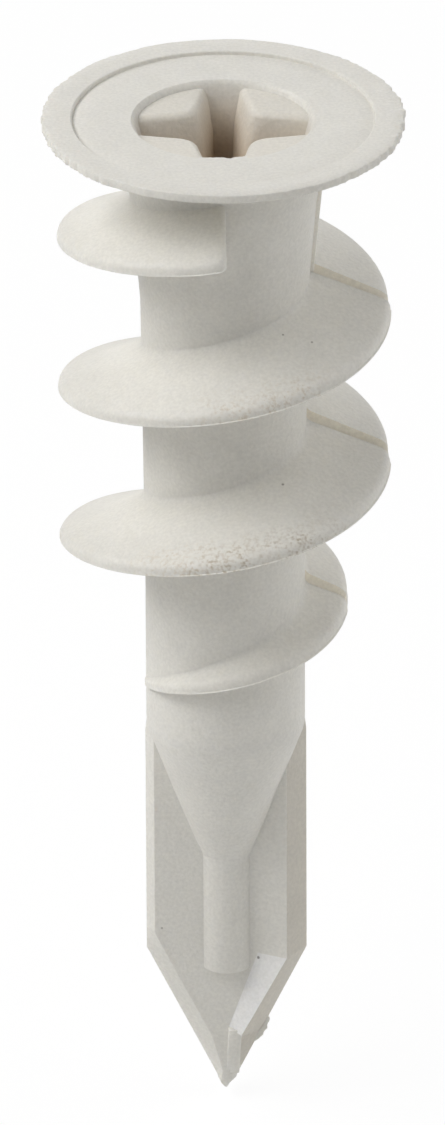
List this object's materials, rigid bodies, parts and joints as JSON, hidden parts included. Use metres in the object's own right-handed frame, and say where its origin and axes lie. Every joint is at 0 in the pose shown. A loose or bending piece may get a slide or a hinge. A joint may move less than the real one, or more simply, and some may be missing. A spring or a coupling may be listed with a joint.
{
  "type": "wall anchor",
  "caption": "Self-drilling plasterboard anchor with a round flange, cross-slot driver recess, coarse deep thread, tapered cone and flat pointed drill blade.",
  "frame": {"origin": "centre of the flange's top face, on the axis", "axes": "+Z along the axis, out of the wall towards the driver; the mould parts on the plane Y = 0 and the flat blade lies in it; -Y is the front"},
  "size_m": [0.0138, 0.0138, 0.0424],
  "materials": {
    "moulded_nylon": "satin moulded nylon, warm light grey",
    "recess_nylon": "satin moulded nylon, slightly warmer in the recess",
    "flight_nylon": "satin moulded nylon, rubbed along its edges",
    "blade_nylon": "satin moulded nylon"
  },
  "bodies": {
    "root": {"head_flange": "moulded_nylon", "drive_lugs": "recess_nylon", "neck": "moulded_nylon", "barrel": "moulded_nylon", "upper_flight": "flight_nylon", "middle_flight": "flight_nylon", "lower_flight": "flight_nylon", "flight_runout": "flight_nylon", "taper_cone": "moulded_nylon", "core_rod": "moulded_nylon", "blade_web": "blade_nylon", "front_cutting_edge": "blade_nylon", "back_cutting_edge": "blade_nylon", "drill_point": "blade_nylon"}
  },
  "joints": []
}
